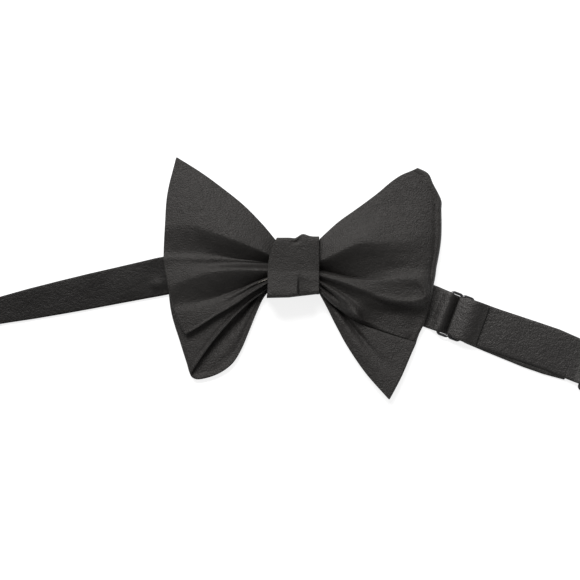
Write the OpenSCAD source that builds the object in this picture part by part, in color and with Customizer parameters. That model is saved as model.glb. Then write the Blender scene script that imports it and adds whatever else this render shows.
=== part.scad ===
// Bow tie: a pre-tied butterfly bow on an adjustable neckband. Millimetres.
// +X to the right and +Y up across the face, +Z out of the face.
// The origin is on the resting plane, behind the middle of the knot.

/* [Bow] */
// Thickness of one leaf of the bow, two plies of satin over an interlining
leaf_t = 1.4; // [1.2:0.1:1.6]
// Depth of the pleats where the front leaves leave the knot
pleat_depth = 1.8; // [0.4:0.1:2.0]
// How far the front leaves belly out between the knot and their outer edge
belly = 2.2; // [0:0.2:3]

/* [Knot] */
// Width of the knot's wrap along the bow
wrap_w = 25.6; // [25.2:0.2:27]
// Height of the wrap across the bow
wrap_h = 29.4; // [29:0.2:32]
// Thickness of the whole knot from back to front
wrap_d = 16; // [15.6:0.2:19]
// Thickness of the wrap's folded satin
wrap_t = 0.9; // [0.7:0.1:1]

/* [Neckband] */
// Thickness of the neckband
strap_t = 0.8; // [0.7:0.05:0.9]
// Width of the adjustable right band
strap_w = 20.5; // [19:0.5:20.6]
// Width of the left band where it leaves the wing
left_w = 18; // [16:0.5:20]
// Width of the left band at its eye
left_end_w = 12.4; // [11:0.2:13]
// Length of the left band from the knot to the eye's bar
left_len = 186; // [160:2:220]
// Fall of the left band below the bow's long axis, in degrees
left_fall = 11.8; // [8:0.2:14]
// Fall of the right band below the bow's long axis, in degrees
right_fall = 20.3; // [18:0.1:21]

/* [Hardware] */
// Distance from the knot to the slider's bar, at the shortest setting
slider_at = 73.4; // [72:0.2:80]
// Distance from the knot to the hook's bar, at the shortest setting
hook_at = 144; // [140:1:160]
// Diameter of the enamelled wire of the slider, eye and hook
wire_d = 1.4; // [1.2:0.1:1.5]

/* [Hidden] */
$fn = 48;
gap = 0.05;
wire_r = wire_d / 2;
back_t = 0.5;
run_z = back_t + 0.1 + strap_t / 2;
ply = strap_t + gap;
left_root = [-12.75, 5.8];
right_root = [12.75, 0.25];
fold_x = wrap_w / 2 + 0.3;

// Heights of the leaves' middle surfaces
blade_z = 2.7;
loop_r = 1.3;
left_loop_z = 3.9;
right_loop_z = 6.6;
front_z = 7.5;

// Slider: half length along the strap, half width across it, bar height
slide_x = 6;
slide_y = 11.1;
corner_r = 1.6;
bar_z = strap_t + gap + strap_t + gap + wire_r;
over_z = bar_z + wire_r + gap + strap_t / 2;
crest_run = 5.5;
tab_end = 14;
ply_end = 16;
weave_start = -12;
tab_w = 18.2;

// Hook and eye
ring_z = run_z + strap_t / 2 + gap + wire_r;
hook_y = 12.6;
hook_x = 7.5;
eye_x = 9;
eye_y = left_end_w / 2 + 1.5;
turn_in = 8;
root_len = 30;

satin = [0.17, 0.165, 0.16];
lining = [0.24, 0.235, 0.23];
canvas = [0.75, 0.72, 0.66];
thread = [0.09, 0.09, 0.09];
enamel = [0.05, 0.05, 0.055];

// ---- Curves and surfaces ----

function mix(a, b, t) = a + (b - a) * t;
function ease(t) = let (c = min(1, max(0, t))) c * c * (3 - 2 * c);
function bez(p, t) =
    let (q = 1 - t) q * q * q * p[0] + 3 * q * q * t * p[1] + 3 * q * t * t * p[2] + t * t * t * p[3];

// Patch between four edges: lower and upper run outwards, neck and outer run upwards
function patch(e, u, v) =
    mix(bez(e[0], u), bez(e[1], u), v) + mix(bez(e[2], v), bez(e[3], v), u)
    - mix(mix(e[0][0], e[0][3], u), mix(e[1][0], e[1][3], u), v);

// Smooth curve through stops [position, value]
function through(stops, v) =
    let (i = max([for (k = [0:len(stops) - 2]) if (k == 0 || v >= stops[k][0]) k]))
    mix(stops[i][1], stops[i + 1][1],
        ease((v - stops[i][0]) / (stops[i + 1][0] - stops[i][0])));

function straight(a, b) = [a, mix(a, b, 1 / 3), mix(a, b, 2 / 3), b];

// Closed sheet between two offsets of the surface f(s, v), on the grid ss by vs
module sheet(f, ss, vs, half) {
    ns = len(ss);
    nv = len(vs);
    e = 0.003;
    nrm = function (s, v)
        let (n = cross(f(s + e, v) - f(s - e, v), f(s, v + e) - f(s, v - e)))
        n / norm(n);
    pts = [for (side = [-1, 1]) for (s = ss) for (v = vs) f(s, v) + side * half * nrm(s, v)];
    lo = function (i, j) i * nv + j;
    hi = function (i, j) ns * nv + i * nv + j;
    quads = concat(
        [for (i = [0:ns - 2]) for (j = [0:nv - 2]) [hi(i, j), hi(i, j + 1), hi(i + 1, j + 1), hi(i + 1, j)]],
        [for (i = [0:ns - 2]) for (j = [0:nv - 2]) [lo(i, j), lo(i + 1, j), lo(i + 1, j + 1), lo(i, j + 1)]],
        [for (j = [0:nv - 2]) [hi(0, j + 1), hi(0, j), lo(0, j), lo(0, j + 1)]],
        [for (j = [0:nv - 2]) [hi(ns - 1, j), hi(ns - 1, j + 1), lo(ns - 1, j + 1), lo(ns - 1, j)]],
        [for (i = [0:ns - 2]) [hi(i, 0), hi(i + 1, 0), lo(i + 1, 0), lo(i, 0)]],
        [for (i = [0:ns - 2]) [hi(i + 1, nv - 1), hi(i, nv - 1), lo(i, nv - 1), lo(i + 1, nv - 1)]]
    );
    polyhedron(pts, [for (q = quads) for (t = [[q[0], q[1], q[2]], [q[0], q[2], q[3]]]) t], convexity = 6);
}

// Grid positions from a to b, with every line of the list that lies between them
function between(list, a, b) =
    concat([a], [for (x = list) if (x > max(a, 0) + 0.005 && x < min(b, 1) - 0.005) x], [b]);

// A leaf's satin shell. Its pocket is open at the neck, and at both necks of a loop
module leaf_shell(f, ss, vs, far) {
    difference() {
        sheet(f, ss, vs, leaf_t / 2);
        sheet(f, between(ss, -0.04, far), between(vs, 0.05, 0.95), leaf_t / 2 - 0.42);
    }
}

// The interlining that lies in the pocket
module leaf_lining(f, ss, vs, far) {
    sheet(f, between(ss, 0.01, far), [for (v = vs) if (v > 0.06 && v < 0.94) v], leaf_t / 2 - 0.54);
}

function even(n) = [for (i = [0:n]) i / n];

// ---- Left front blade: the flat, square-cut end of the bow ----

lf_neck = straight([-11.9, -8.2], [-8.6, 12.2]);
lf_edges = [
    [[-11.9, -8.2], [-22, -15], [-38, -23], [-53.7, -34]],
    [[-8.6, 12.2], [-17, 25], [-33, 37], [-58, 53.7]],
    lf_neck,
    [[-53.7, -34], [-66.5, -14], [-67.8, 22], [-58, 53.7]]
];
lf_pleats = [[0, -0.4], [0.04, 0.3], [0.14, -0.7], [0.31, 0.7], [0.45, -1], [0.62, 1], [1, 0]];
lf_vs = [0, 0.04, 0.09, 0.14, 0.22, 0.31, 0.38, 0.45, 0.53, 0.62, 0.74, 0.87, 1];
function lf_z(u, v) =
    front_z + mix(1.6, 0, u) + belly * sin(180 * u)
    + pleat_depth * through(lf_pleats, v) * mix(0.2, 1, max(0, 1 - u) ^ 1.2);
lf = function (u, v) let (p = patch(lf_edges, u, v)) [p[0], p[1], lf_z(u, v)];

// ---- Right rear blade ----

rr_edges = [
    [[11.9, -11], [17.5, -24], [29, -45], [47.8, -66]],
    straight([11.9, 8], [73.6, 18.5]),
    straight([11.9, -11], [11.9, 8]),
    [[47.8, -66], [59, -41], [71, -20], [73.6, 18.5]]
];
function rr_z(u, v) = blade_z + 0.3 * u * sin(540 * v) - 1.4 * u * ease((0.3 - v) / 0.3);
rr = function (u, v) let (p = patch(rr_edges, u, v)) [p[0], p[1], rr_z(u, v)];
rr_vs = [0, 0.06, 0.14, 0.22, 0.32, 0.44, 0.56, 0.68, 0.8, 0.92, 1];

// ---- Loops: a front ply, a fold at the outer edge and a rear ply ----

// Share of the grid on each ply, and of the length in the fold
ply_s = 0.42;
fold_u = 0.024;
loop_ss = [0, 0.04, 0.08, 0.13, 0.18, 0.24, 0.3, 0.36, 0.42, 0.46, 0.5, 0.54,
           0.58, 0.64, 0.7, 0.76, 0.82, 0.87, 0.92, 0.96, 1];
function turn(s) = (s - ply_s) / (1 - 2 * ply_s) * 180;
function loop_u(s) =
    s < ply_s ? s / ply_s * (1 - fold_u) :
    s > 1 - ply_s ? (1 - s) / ply_s * (1 - fold_u) : 1 - fold_u + fold_u * sin(turn(s));
function loop_w(s) = s < ply_s ? 0 : s > 1 - ply_s ? 1 : (1 - cos(turn(s))) / 2;
function loop_h(s) = s < ply_s ? 1 : s > 1 - ply_s ? -1 : cos(turn(s));

lr_outer = [[-50.4, -54.5], [-57.5, -36], [-68, -5], [-60, 30]];
lr_upper = straight([-11.9, 6.5], [-60, 30]);
lr_front = [
    [[-11.9, -10.6], [-24, -18], [-39, -35], [-50.4, -54.5]],
    lr_upper,
    straight([-11.9, -10.6], [-11.9, 6.5]),
    lr_outer
];
lr_rear = [
    [[-12, -12.2], [-24, -32], [-22, -54], [-50.4, -54.5]],
    lr_upper,
    straight([-12, -12.2], [-11.9, 6.5]),
    lr_outer
];
lr_vs = [0, 0.08, 0.18, 0.3, 0.42, 0.55, 0.7, 0.85, 1];
lr = function (s, v)
    let (u = loop_u(s), p = mix(patch(lr_front, u, v), patch(lr_rear, u, v), loop_w(s)))
    [p[0], p[1], left_loop_z + loop_r * loop_h(s) - 0.9 * sin(90 * u) * ease((0.3 - v) / 0.3) * loop_w(s)];

rf_edges = [
    [[11.9, -10.4], [22, -22], [36, -28], [59.6, -37.5]],
    [[11.9, 12], [24, 25], [46, 34], [65, 47]],
    straight([11.9, -10.4], [11.9, 12]),
    [[59.6, -37.5], [72, -16], [76.5, 24], [65, 47]]
];
rf_pleats = [[0, -0.3], [0.07, 0.5], [0.16, -0.5], [0.27, 0.6], [0.385, -1], [0.66, 1], [1, 0]];
rf_vs = [0, 0.07, 0.11, 0.16, 0.21, 0.27, 0.32, 0.385, 0.45, 0.55, 0.66, 0.78, 0.9, 1];
function rf_lift(u, v) =
    mix(2.6, 0, max(0, u) ^ 1.5) + belly * sin(180 * u)
    + pleat_depth * through(rf_pleats, v) * max(0, 1 - u) ^ 0.8;
rf = function (s, v)
    let (u = loop_u(s), p = patch(rf_edges, u, v), z = right_loop_z + (loop_r - 0.1) * loop_h(s))
    [p[0], p[1], z + (1 - loop_w(s)) * rf_lift(min(1, u / (1 - fold_u)), v)];

module left_front_blade() {
    color(satin)
    leaf_shell(lf, even(10), lf_vs, 0.95);
}

module left_front_interlining() {
    color(canvas)
    leaf_lining(lf, even(10), lf_vs, 0.94);
}

module left_rear_loop() {
    color(satin)
    leaf_shell(lr, loop_ss, lr_vs, 1.04);
}

module left_rear_interlining() {
    color(canvas)
    leaf_lining(lr, loop_ss, lr_vs, 0.99);
}

module right_front_loop() {
    color(satin)
    leaf_shell(rf, loop_ss, rf_vs, 1.04);
}

module right_front_interlining() {
    color(canvas)
    leaf_lining(rf, loop_ss, rf_vs, 0.99);
}

module right_rear_blade() {
    color(satin)
    leaf_shell(rr, even(8), rr_vs, 0.95);
}

module right_rear_interlining() {
    color(canvas)
    leaf_lining(rr, even(8), rr_vs, 0.94);
}

// ---- Knot ----

wrap_y = -0.7;
tack_pitch = 3.2;
tack_n = 6;

// Rounded bar along X, from the lower corner y, z, with height h and depth d
module bar(len, y, z, h, d, r) {
    rotate([90, 0, 90])
    linear_extrude(len, center = true) {
        translate([y + r, z])
        square([h - 2 * r, d]);
        translate([y, z + r])
        square([h, d - 2 * r]);
        for (py = [y + r, y + h - r], pz = [z + r, z + d - r])
            translate([py, pz])
            circle(r);
    }
}

// The wrap's left side slants in towards the top
module slant(d) {
    translate([0, 0, -1])
    linear_extrude(wrap_d + 2)
    polygon([[-30, -1.5], [-wrap_w / 2 + d, -1.5], [-8.5 + d, 14.5], [-8.5 + d, 30], [-30, 30]]);
}

module knot_wrap() {
    color(satin)
    difference() {
        bar(wrap_w, wrap_y - wrap_h / 2, 0, wrap_h, wrap_d, 4);
        bar(wrap_w + 2, wrap_y - wrap_h / 2 + wrap_t, back_t, wrap_h - 2 * wrap_t,
            wrap_d - back_t - wrap_t, 3.2);
        slant(0);
        // channels that the tacking stitches lie in, under the resting face
        for (k = [0:tack_n - 1])
            translate([3.5, (k - (tack_n - 1) / 2) * tack_pitch, 0.18])
            rotate([0, 0, 20])
            cube([2.6, 0.5, 0.44], center = true);
    }
}

module knot_core() {
    color(lining)
    difference() {
        bar(21.2, wrap_y - wrap_h / 2 + wrap_t + 0.3, run_z + strap_t / 2 + 0.15,
            wrap_h - 2 * wrap_t - 0.6, wrap_d - wrap_t - run_z - strap_t / 2 - 0.35, 3);
        slant(2.2);
    }
}

module knot_tack() {
    color(thread)
    for (k = [0:tack_n - 1])
        translate([3.5, (k - (tack_n - 1) / 2) * tack_pitch, 0.2])
        rotate([0, 90, 20])
        cylinder(r = 0.14, h = 2.2, center = true);
}

// ---- Straps ----

function reversed(p) = [for (i = [len(p) - 1:-1:0]) p[i]];
function heading(p, i) =
    let (d = p[min(len(p) - 1, i + 1)] - p[max(0, i - 1)]) d / norm(d);
function beside(p, d) = [for (i = [0:len(p) - 1]) let (t = heading(p, i)) p[i] + d * [-t[1], t[0]]];

// Strap of width w whose middle line runs along path, a list of [along, height]
module ribbon(path, w) {
    rotate([90, 0, 0])
    linear_extrude(w, center = true)
    polygon(concat(beside(path, strap_t / 2), reversed(beside(path, -strap_t / 2))));
}

module on_left(x) {
    translate([left_root[0], left_root[1], 0])
    rotate([0, 0, 180 + left_fall])
    translate([x, 0, 0])
    children();
}

module on_right(x) {
    translate([right_root[0], right_root[1], 0])
    rotate([0, 0, -right_fall])
    translate([x, 0, 0])
    children();
}

// Middle line where a strap turns round a bar at x and height z and comes back over it
function around(z, x) = [for (a = [-90:15:90]) [x + (wire_r + gap + strap_t / 2) * cos(a),
                                                z + (wire_r + gap + strap_t / 2) * sin(a)]];
function fall(z0, z1, x0, x1, n) =
    [for (i = [1:n]) [mix(x0, x1, i / n), mix(z0, z1, (1 - cos(180 * i / n)) / 2)]];

// The band inside the knot, its upper edge kept clear of the wrap's lower corner
module band_centre() {
    color(satin)
    translate([0, 0, run_z - strap_t / 2])
    linear_extrude(strap_t)
    polygon([
        [-fold_x + 0.1, left_root[1] - 7.4],
        [0, -6],
        [fold_x - 0.1, right_root[1] - strap_w / 2 / cos(right_fall)],
        [fold_x - 0.1, 10.3],
        [-10.4, 10.3],
        [-fold_x + 0.1, left_root[1] + 7.4]
    ]);
}

// Half width of the left band at a distance from the knot
function left_half(x) =
    x < 24 ? mix(7.2, left_w / 2, ease(x / 24)) :
    mix(left_w / 2, left_end_w / 2, ease((x - 52) / 102) ^ 1.3);

module left_outline(d) {
    xs = [for (i = [0:4]) 6 * i, for (i = [0:12]) 52 + 8.5 * i, left_len - 0.5];
    polygon(concat(
        [for (x = xs) [x, left_half(x) - d]],
        [for (x = reversed(xs)) [x, -left_half(x) + d]]
    ));
}

// Everything left of the fold line at the knot is cut away from a band's first stretch
module fold_cut(side) {
    translate([side * (fold_x - 20), 0, 0])
    cube([40, 80, 20], center = true);
}

module left_band() {
    color(satin)
    difference() {
        union() {
            on_left(0)
            translate([0, 0, run_z - strap_t / 2])
            linear_extrude(strap_t)
            left_outline(0);
            on_left(left_len)
            ribbon(concat([[-1, run_z]], around(ring_z, 0),
                          fall(ring_z + wire_r + gap + strap_t / 2, run_z + ply, 0, -7, 8), [[-14, run_z + ply]]),
                   left_end_w);
        }
        fold_cut(-1);
        on_left(0)
        translate([0, 0, run_z - 0.15])
        linear_extrude(0.3)
        difference() {
            left_outline(0.8);
            translate([left_len - 3, -20])
            square([14, 40]);
        }
    }
}

module left_band_interlining() {
    color(canvas)
    on_left(0)
    translate([0, 0, run_z - 0.1])
    linear_extrude(0.2)
    difference() {
        left_outline(0.9);
        translate([-10, -20])
        square([14.3, 40]);
        translate([left_len - 3.3, -20])
        square([14, 40]);
    }
}

// A row of n stitches across a strap
module stitches(n, w, z) {
    for (k = [0:n - 1])
        translate([0, (k - (n - 1) / 2) * w / n, z])
        rotate([90, 0, 0])
        cylinder(r = 0.16, h = w / n * 0.62, center = true);
}

module left_end_stitches() {
    color(thread)
    on_left(left_len - 12)
    stitches(6, left_end_w - 1.4, run_z + ply + strap_t / 2 + 0.16);
}

module right_band_root() {
    color(satin)
    difference() {
        on_right(root_len / 2 - 2)
        translate([0, 0, run_z])
        cube([root_len + 4, strap_w, strap_t], center = true);
        fold_cut(1);
    }
}

module right_single_run() {
    start = root_len + 0.1;
    end = slider_at + weave_start - 0.1;
    color(satin)
    on_right((start + end) / 2)
    translate([0, 0, run_z])
    cube([end - start, strap_w, strap_t], center = true);
}

// Height of the lower run beside the slider's bar: under the bar, over the frame's two sides
function weave_z(x) =
    let (a = abs(x))
    a < slide_x ? mix(strap_t / 2, over_z, (1 - cos(180 * a / slide_x)) / 2) :
    a < slide_x + crest_run ? mix(over_z, run_z, (1 - cos(180 * (a - slide_x) / crest_run)) / 2) :
    run_z;
function weave(x0, x1) = [for (x = [x0:0.5:x1]) [x, weave_z(x)]];

module slider_weave() {
    color(satin)
    on_right(slider_at)
    ribbon(weave(weave_start, ply_end), strap_w);
}

module slider_tab() {
    under = beside(weave(0, ply_end), ply);
    top_z = bar_z + wire_r + gap + strap_t / 2;
    crest = over_z + 2 * ply;
    over = [for (p = beside(weave(slide_x, tab_end), 2 * ply)) if (p[0] > slide_x) p];
    color(satin)
    on_right(slider_at)
    ribbon(concat(
        reversed(under),
        [for (a = [-105:-15:-270]) [(wire_r + gap + strap_t / 2) * cos(a),
                                    bar_z + (wire_r + gap + strap_t / 2) * sin(a)]],
        fall(top_z, crest, 0, slide_x, 10),
        over
    ), tab_w);
}

module tab_stitches() {
    color(thread)
    on_right(slider_at + tab_end - 1.2)
    stitches(8, tab_w - 1.2, run_z + 2 * ply + strap_t / 2 + 0.16);
}

// Quarter turn of wire about a vertical axis at x, y, starting at angle a
module bend(x, y, a) {
    translate([x, y, 0])
    rotate([0, 0, a])
    rotate_extrude(angle = 90)
    translate([corner_r, 0])
    circle(wire_r);
}

module wire_x(x0, x1, y) {
    translate([x0, y, 0])
    rotate([0, 90, 0])
    cylinder(r = wire_r, h = x1 - x0);
}

module wire_y(x, y0, y1) {
    translate([x, y0, 0])
    rotate([-90, 0, 0])
    cylinder(r = wire_r, h = y1 - y0);
}

// Rounded rectangular ring of wire from x0 to x1, half width y
module ring(x0, x1, y) {
    c = corner_r;
    for (x = [x0, x1])
        wire_y(x, -y + c, y - c);
    for (s = [-1, 1])
        wire_x(x0 + c, x1 - c, s * y);
    bend(x1 - c, y - c, 0);
    bend(x0 + c, y - c, 90);
    bend(x0 + c, -y + c, 180);
    bend(x1 - c, -y + c, 270);
}

module slider() {
    c = corner_r;
    color(enamel)
    on_right(slider_at)
    translate([0, 0, bar_z]) {
        wire_y(0, -slide_y + c, slide_y - c);
        for (s = [-1, 1]) {
            wire_y(s * slide_x, -slide_y + c, slide_y - c);
            for (e = [-1, 1])
                wire_x(min(s * c, s * (slide_x - c)), max(s * c, s * (slide_x - c)), e * slide_y);
        }
        bend(slide_x - c, slide_y - c, 0);
        bend(-slide_x + c, slide_y - c, 90);
        bend(-slide_x + c, -slide_y + c, 180);
        bend(slide_x - c, -slide_y + c, 270);
        bend(-c, slide_y - c, 0);
        bend(c, slide_y - c, 90);
        bend(c, -slide_y + c, 180);
        bend(-c, -slide_y + c, 270);
    }
}

module run_between(x0, x1, z) {
    color(satin)
    on_right((x0 + x1) / 2)
    translate([0, 0, z])
    cube([x1 - x0, strap_w, strap_t], center = true);
}

module right_under_run() {
    run_between(slider_at + ply_end + 0.1, hook_at - turn_in - 0.1, run_z);
}

module right_upper_run() {
    run_between(slider_at + ply_end + 0.1, hook_at - turn_in - 0.1, run_z + ply);
}

module hook_turn() {
    top = ring_z + wire_r + gap + strap_t / 2;
    color(satin)
    on_right(hook_at)
    ribbon(concat([[-turn_in, run_z], [-4, run_z]], around(ring_z, 0),
                  fall(top, run_z + ply, 0, -turn_in, 10)),
           strap_w);
}

module eye_ring() {
    color(enamel)
    on_left(left_len)
    translate([0, 0, ring_z])
    ring(0, eye_x, eye_y);
}

// The hook's tongue: a strip that leaves the ring, rises a little and curls back under
tongue_t = 0.7;
tongue_w = 6;
curl_r = 1.2;
curl_x = 15;
module tongue() {
    top = tongue_t / 2 + 2 * curl_r;
    path = concat(
        [[hook_x, ring_z]],
        fall(ring_z, top, hook_x, hook_x + 3, 6),
        [for (a = [90:-15:-90]) [curl_x + curl_r * cos(a), top - curl_r + curl_r * sin(a)]],
        [[11.2, tongue_t / 2]]
    );
    rotate([90, 0, 0])
    linear_extrude(tongue_w, center = true)
    polygon(concat(beside(path, tongue_t / 2), reversed(beside(path, -tongue_t / 2))));
}

module hook() {
    color(enamel)
    on_right(hook_at) {
        translate([0, 0, ring_z])
        ring(0, hook_x, hook_y);
        tongue();
    }
}

left_front_blade();
left_front_interlining();
left_rear_loop();
left_rear_interlining();
right_front_loop();
right_front_interlining();
right_rear_blade();
right_rear_interlining();
knot_wrap();
knot_core();
knot_tack();
band_centre();
left_band();
left_band_interlining();
left_end_stitches();
eye_ring();
right_band_root();
right_single_run();
slider_weave();
slider_tab();
tab_stitches();
slider();
right_under_run();
right_upper_run();
hook_turn();
hook();
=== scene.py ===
"""Looks of the bow tie: cloth, thread, wire and the studio round it.

Everything is in metres in the tie's own frame: +X to the right, +Y up the bow, +Z out of
its front, with the back of the knot on Z = 0. Sizes and places in the tables and in the
fields are millimetres, unless a class says otherwise.
"""

import logging
import math
from dataclasses import dataclass
from enum import Enum
from typing import Callable, Optional, Sequence

import bmesh
import bpy
import numpy as np
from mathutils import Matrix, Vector


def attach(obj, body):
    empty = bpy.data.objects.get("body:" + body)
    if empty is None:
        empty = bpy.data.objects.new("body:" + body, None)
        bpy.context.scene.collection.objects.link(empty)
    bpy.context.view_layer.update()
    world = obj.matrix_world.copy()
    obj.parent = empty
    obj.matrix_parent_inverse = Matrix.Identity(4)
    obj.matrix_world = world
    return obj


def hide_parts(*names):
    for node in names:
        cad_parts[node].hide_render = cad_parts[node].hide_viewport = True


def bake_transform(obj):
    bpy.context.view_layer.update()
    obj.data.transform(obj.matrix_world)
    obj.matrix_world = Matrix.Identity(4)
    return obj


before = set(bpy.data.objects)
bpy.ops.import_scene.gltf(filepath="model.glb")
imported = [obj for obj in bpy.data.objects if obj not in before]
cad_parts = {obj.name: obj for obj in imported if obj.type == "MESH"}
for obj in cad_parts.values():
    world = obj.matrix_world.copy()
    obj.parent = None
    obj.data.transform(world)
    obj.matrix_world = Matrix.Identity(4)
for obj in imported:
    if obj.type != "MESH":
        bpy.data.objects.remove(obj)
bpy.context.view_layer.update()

LOG = logging.getLogger("bow_tie")
MM = 0.001
# Turn of the twill's sine per metre of cloth
TWILL_PER_M = 9000.0
# Thickness of the interlinings and of the neckband, and the height of the neckband's middle
CANVAS_T = 0.25
STRAP_T = 0.8
RUN_Z = 1.0
# Places along a folded leaf's front ply, closer towards the fold, and the room between plies
FOLD_STOPS = (0, 0.1, 0.22, 0.36, 0.5, 0.63, 0.74, 0.84, 0.92, 0.965, 1)
PLY_GAP = 1.3
Point = tuple[float, float, float]


class Hold(Enum):
    """How a sheet of cloth is held."""

    GATHERED = "gathered"
    FOLDED = "folded"
    LAID = "laid"


class Axis(Enum):
    """Directions of the two bands, as (start x, start y, turn in degrees)."""

    LEFT = (-12.75, 5.8, 191.8)
    RIGHT = (12.75, 0.25, -20.3)


# ---------------------------------------------------------------- shaders


class Sock:
    """A shader socket that can be added, multiplied and mixed like a number."""

    def __init__(self, graph: "Graph", socket: Optional[bpy.types.NodeSocket]) -> None:
        """Wraps a socket of a graph."""
        self.graph = graph
        self.socket = socket

    def _math(self, operation: str, a: object, b: object, clamp: bool = False) -> "Sock":
        """Adds one Math node on a and b. Returns: its value."""
        return self.graph.node("ShaderNodeMath", {"operation": operation, "use_clamp": clamp}, {0: a, 1: b})

    def __add__(self, other: object) -> "Sock":
        """Returns: the sum."""
        return self._math("ADD", self, other)

    def __radd__(self, other: object) -> "Sock":
        """Returns: the sum, number first."""
        return self._math("ADD", other, self)

    def __sub__(self, other: object) -> "Sock":
        """Returns: the difference."""
        return self._math("SUBTRACT", self, other)

    def __rsub__(self, other: object) -> "Sock":
        """Returns: the difference, number first."""
        return self._math("SUBTRACT", other, self)

    def __mul__(self, other: object) -> "Sock":
        """Returns: the product."""
        return self._math("MULTIPLY", self, other)

    def __rmul__(self, other: object) -> "Sock":
        """Returns: the product, number first."""
        return self._math("MULTIPLY", other, self)

    def __truediv__(self, other: object) -> "Sock":
        """Returns: the quotient."""
        return self._math("DIVIDE", self, other)

    def clamp(self) -> "Sock":
        """Returns: the value held between 0 and 1."""
        return self._math("ADD", self, 0.0, clamp=True)

    def sine(self) -> "Sock":
        """Returns: the sine of the value."""
        return self._math("SINE", self, 0.0)


class Graph:
    """The node tree of one material."""

    def __init__(self, name: str) -> None:
        """Makes the material, with an empty tree."""
        self.material = bpy.data.materials.new(name)
        self.material.use_nodes = True
        self.tree = self.material.node_tree
        self.tree.nodes.clear()

    def node(self, kind: str, settings: Optional[dict] = None, inputs: Optional[dict] = None,
             out: object = 0) -> Sock:
        """Adds a node.

        Args:
            kind: the node's type name.
            settings: properties set on the node.
            inputs: sockets by name or number, each a Sock or a constant.
            out: the output to return, by name or number.

        Returns:
            The chosen output.
        """
        made = self.tree.nodes.new(kind)
        for key, value in (settings or {}).items():
            setattr(made, key, value)
        for key, value in (inputs or {}).items():
            if isinstance(value, Sock):
                self.tree.links.new(value.socket, made.inputs[key])
            else:
                made.inputs[key].default_value = value
        return Sock(self, made.outputs[out]) if len(made.outputs) else Sock(self, None)

    def noise(self, where: Sock, scale: float, detail: float = 2.0, rough: float = 0.5) -> Sock:
        """Adds a noise.

        Args:
            where: the coordinates it is read at.
            scale: its cells per metre.
            detail: its octaves.
            rough: how strong the finer octaves are.

        Returns:
            The noise, between 0 and 1.
        """
        return self.node("ShaderNodeTexNoise", {}, {"Vector": where, "Scale": scale, "Detail": detail,
                                                    "Roughness": rough})

    def mix(self, factor: Sock, a: Sequence[float], b: Sequence[float]) -> Sock:
        """Returns: the colour between a and b."""
        return self.node("ShaderNodeMix", {"data_type": "RGBA"},
                         {"Factor": factor, 6: (*a, 1.0), 7: (*b, 1.0)}, out=2)

    def bump(self, height: Sock, strength: float, distance: float) -> Sock:
        """Returns: the normal of a surface raised by height."""
        return self.node("ShaderNodeBump", {}, {"Strength": strength, "Distance": distance,
                                                "Height": height})

    def close(self, inputs: dict) -> bpy.types.Material:
        """Closes the tree with a Principled shader. Returns: the material."""
        shader = self.node("ShaderNodeBsdfPrincipled", {}, inputs)
        self.node("ShaderNodeOutputMaterial", {}, {"Surface": shader})
        return self.material


@dataclass(frozen=True)
class Satin:
    """A woven satin: a dark face with a soft lustre, a fine diagonal weave and slight slubs.

    dark and light are the ends of its colour, rough its roughness, grain the strength of its
    finest mottling and lustre its shine.
    """

    name: str
    dark: tuple[float, float, float]
    light: tuple[float, float, float]
    rough: float = 0.55
    grain: float = 1.0
    lustre: float = 0.42

    def build(self) -> bpy.types.Material:
        """Returns: the material, whose weave follows the cloth's own flat coordinates."""
        g = Graph(self.name)
        flat = g.node("ShaderNodeUVMap", {"uv_map": "flat"})
        body = g.node("ShaderNodeTexCoord", {}, {}, out="Object")
        part = g.node("ShaderNodeSeparateXYZ", {}, {0: flat}, out=0)
        across = Sock(g, part.socket.node.outputs[1])
        weave = ((part + across * 0.5) * TWILL_PER_M).sine() * 0.5 + 0.5
        slub = g.noise(body, 420.0, 3.0, 0.6)
        cloud = g.noise(body, 38.0, 3.0, 0.55)
        fine = g.noise(body, 1500.0, 2.0, 0.6)
        tone = (cloud * 0.5 + slub * 0.35 + fine * 0.35 * self.grain - 0.1).clamp()
        height = weave * 0.18 + fine * 4.2 * self.grain + slub * 2.2 + cloud * 2.5
        return g.close({
            "Base Color": g.mix(tone, self.dark, self.light),
            "Roughness": self.rough - 0.1 + slub * 0.12 + fine * 0.08,
            "Normal": g.bump(height, 0.6, 0.00022),
            "Specular IOR Level": self.lustre,
            "Specular Tint": (1.0, 0.965, 0.94, 1.0),
        })


@dataclass(frozen=True)
class Weave:
    """A plain woven cloth or thread with crossing yarns."""

    name: str
    dark: tuple[float, float, float]
    light: tuple[float, float, float]
    pitch: float = 0.0006

    def build(self) -> bpy.types.Material:
        """Returns: the material."""
        g = Graph(self.name)
        body = g.node("ShaderNodeTexCoord", {}, {}, out="Object")
        part = g.node("ShaderNodeSeparateXYZ", {}, {0: body}, out=0)
        across = Sock(g, part.socket.node.outputs[1])
        k = 2 * math.pi / self.pitch
        yarns = (part * k).sine() * (across * k).sine() * 0.5 + 0.5
        cloud = g.noise(body, 120.0, 3.0)
        return g.close({
            "Base Color": g.mix((yarns * 0.5 + cloud * 0.5).clamp(), self.dark, self.light),
            "Roughness": 0.75 + cloud * 0.15,
            "Normal": g.bump(yarns + cloud, 0.5, 0.0002),
            "Sheen Weight": 0.2,
        })


@dataclass(frozen=True)
class Enamel:
    """Glossy black enamel over steel wire, slightly worn on the high places."""

    name: str

    def build(self) -> bpy.types.Material:
        """Returns: the material."""
        g = Graph(self.name)
        body = g.node("ShaderNodeTexCoord", {}, {}, out="Object")
        cloud = g.noise(body, 300.0, 3.0)
        fine = g.noise(body, 1400.0, 2.0)
        return g.close({
            "Base Color": g.mix(cloud, (0.006, 0.006, 0.007), (0.018, 0.018, 0.019)),
            "Roughness": 0.16 + cloud * 0.16,
            "Normal": g.bump(fine, 0.12, 0.0001),
            "Coat Weight": 0.35 + cloud * 0.2,
        })


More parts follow.
